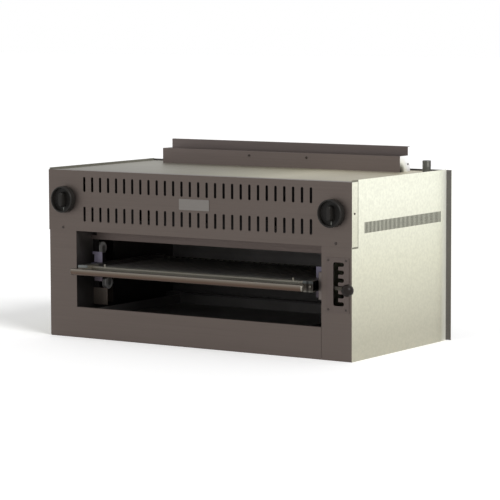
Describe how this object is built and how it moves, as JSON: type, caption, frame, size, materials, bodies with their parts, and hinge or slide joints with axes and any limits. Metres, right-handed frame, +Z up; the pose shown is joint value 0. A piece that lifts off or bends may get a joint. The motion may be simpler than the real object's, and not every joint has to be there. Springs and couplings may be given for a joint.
{
  "type": "salamander grill",
  "caption": "Wide open-fronted steel gas broiler with slotted control panel, knobs, rear flue and a grid rack that rolls out and lifts on a notched gate.",
  "frame": {"origin": "centre of the cabinet's foot, at the underside of the base panel", "axes": "+X to the cook's right, +Y from the front to the back, +Z up"},
  "size_m": [0.9512, 0.5168, 0.4935],
  "materials": {
    "stainless_sheet": "brushed",
    "gate_steel": "brushed",
    "cavity_sheet": "dull, darkened by heat",
    "burner_steel": "dull",
    "ceramic": "matt fired clay",
    "black_pipe": "satin black",
    "regulator_casting": "cast",
    "brass": "machined",
    "black_phenolic": "gloss black",
    "zinc_plate": "zinc plated",
    "roller_steel": "machined",
    "spring_wire": "oiled",
    "rack_steel": "bright plated"
  },
  "bodies": {
    "cabinet": {"base_panel": "stainless_sheet", "side_panel_left": "stainless_sheet", "side_panel_right": "stainless_sheet", "rear_panel": "stainless_sheet", "top_panel": "stainless_sheet", "control_panel": "stainless_sheet", "front_frame": "stainless_sheet", "right_stile": "stainless_sheet", "gate_plate": "gate_steel", "badge_plate": "stainless_sheet", "flue_front": "stainless_sheet", "flue_back": "stainless_sheet", "flue_sides": "stainless_sheet", "header_baffle": "cavity_sheet", "cavity_side_left": "cavity_sheet", "cavity_side_right": "cavity_sheet", "cavity_rear": "cavity_sheet", "burner_housing": "cavity_sheet", "burner_left": "burner_steel", "burner_right": "burner_steel", "ceramic_tiles": "ceramic", "manifold_pipe": "black_pipe", "gas_inlet_pipe": "black_pipe", "pressure_regulator": "regulator_casting", "gas_valve_left": "brass", "gas_valve_right": "brass", "burner_supply_tubes": "brass", "pilot_burners": "burner_steel", "guide_rail_left": "zinc_plate", "guide_rail_right": "zinc_plate", "spring_anchors": "zinc_plate", "counterbalance_spring_left": "spring_wire", "counterbalance_spring_right": "spring_wire"},
    "pan": {"drip_pan": "cavity_sheet"},
    "left_control": {"knob_left": "black_phenolic", "valve_stem_left": "brass"},
    "right_control": {"knob_right": "black_phenolic", "valve_stem_right": "brass"},
    "carriage": {"carriage_left": "zinc_plate", "carriage_right": "zinc_plate", "cross_shaft": "roller_steel", "roller_studs": "roller_steel", "lever_pivot": "roller_steel"},
    "rack": {"rack_rail_left": "rack_steel", "rack_rail_right": "rack_steel", "rack_cross_bars": "rack_steel", "grid_rods": "rack_steel", "handle_tube": "rack_steel", "tube_plugs": "rack_steel"},
    "latch": {"latch_lever": "roller_steel", "ball_knob": "black_phenolic"},
    "left_upper_guide_roller": {"guide_roller_left_upper": "roller_steel"},
    "left_lower_guide_roller": {"guide_roller_left_lower": "roller_steel"},
    "left_front_rack_roller": {"rack_roller_left_front": "roller_steel"},
    "left_rear_rack_roller": {"rack_roller_left_rear": "roller_steel"},
    "right_upper_guide_roller": {"guide_roller_right_upper": "roller_steel"},
    "right_lower_guide_roller": {"guide_roller_right_lower": "roller_steel"},
    "right_front_rack_roller": {"rack_roller_right_front": "roller_steel"},
    "right_rear_rack_roller": {"rack_roller_right_rear": "roller_steel"}
  },
  "joints": [
    {"name": "left_knob_turn", "type": "hinge", "parent": "cabinet", "child": "left_control", "pos_m": [-0.405, -0.2, 0.356], "axis": [0, -1, 0], "range_deg": [0, 90]},
    {"name": "right_knob_turn", "type": "hinge", "parent": "cabinet", "child": "right_control", "pos_m": [0.405, -0.2, 0.356], "axis": [0, -1, 0], "range_deg": [0, 90]},
    {"name": "rack_lift", "type": "slide", "parent": "cabinet", "child": "carriage", "axis": [0, 0, 1], "range_m": [-0.0381, 0.05715], "stiffness_N_per_m": 400, "springref_m": 0.17, "deforming": ["counterbalance_spring_left", "counterbalance_spring_right"]},
    {"name": "rack_rollout", "type": "slide", "parent": "carriage", "child": "rack", "axis": [0, -1, 0], "range_m": [0, 0.19]},
    {"name": "latch_turn", "type": "hinge", "parent": "carriage", "child": "latch", "pos_m": [0.358, -0.195, 0.1765], "axis": [0, 0, 1], "range_deg": [0, 5]},
    {"name": "pan_lift", "type": "slide", "parent": "cabinet", "child": "pan", "axis": [0, 0, 1], "range_m": [0, 0.028]},
    {"name": "guide_roller_left_upper_spin", "type": "hinge", "parent": "carriage", "child": "left_upper_guide_roller", "pos_m": [-0.3587, -0.1402, 0.2255], "axis": [1, 0, 0], "range_deg": [-140, 210]},
    {"name": "guide_roller_left_lower_spin", "type": "hinge", "parent": "carriage", "child": "left_lower_guide_roller", "pos_m": [-0.3587, -0.1158, 0.1325], "axis": [1, 0, 0], "range_deg": [-210, 140]},
    {"name": "rack_roller_left_front_spin", "type": "hinge", "parent": "carriage", "child": "left_front_rack_roller", "pos_m": [-0.339, -0.164, 0.1765], "axis": [1, 0, 0], "range_deg": [-5, 940]},
    {"name": "rack_roller_left_rear_spin", "type": "hinge", "parent": "carriage", "child": "left_rear_rack_roller", "pos_m": [-0.339, -0.118, 0.1765], "axis": [1, 0, 0], "range_deg": [-940, 5]},
    {"name": "guide_roller_right_upper_spin", "type": "hinge", "parent": "carriage", "child": "right_upper_guide_roller", "pos_m": [0.3587, -0.1402, 0.2255], "axis": [1, 0, 0], "range_deg": [-140, 210]},
    {"name": "guide_roller_right_lower_spin", "type": "hinge", "parent": "carriage", "child": "right_lower_guide_roller", "pos_m": [0.3587, -0.1158, 0.1325], "axis": [1, 0, 0], "range_deg": [-210, 140]},
    {"name": "rack_roller_right_front_spin", "type": "hinge", "parent": "carriage", "child": "right_front_rack_roller", "pos_m": [0.339, -0.164, 0.1765], "axis": [1, 0, 0], "range_deg": [-5, 940]},
    {"name": "rack_roller_right_rear_spin", "type": "hinge", "parent": "carriage", "child": "right_rear_rack_roller", "pos_m": [0.339, -0.118, 0.1765], "axis": [1, 0, 0], "range_deg": [-940, 5]}
  ],
  "couplings": [
    {"joint": "guide_roller_left_upper_spin", "follows": "rack_lift", "rad_per_m": 62.5},
    {"joint": "guide_roller_left_lower_spin", "follows": "rack_lift", "rad_per_m": -62.5},
    {"joint": "rack_roller_left_front_spin", "follows": "rack_rollout", "rad_per_m": 85.47},
    {"joint": "rack_roller_left_rear_spin", "follows": "rack_rollout", "rad_per_m": -85.47},
    {"joint": "guide_roller_right_upper_spin", "follows": "rack_lift", "rad_per_m": 62.5},
    {"joint": "guide_roller_right_lower_spin", "follows": "rack_lift", "rad_per_m": -62.5},
    {"joint": "rack_roller_right_front_spin", "follows": "rack_rollout", "rad_per_m": 85.47},
    {"joint": "rack_roller_right_rear_spin", "follows": "rack_rollout", "rad_per_m": -85.47}
  ]
}
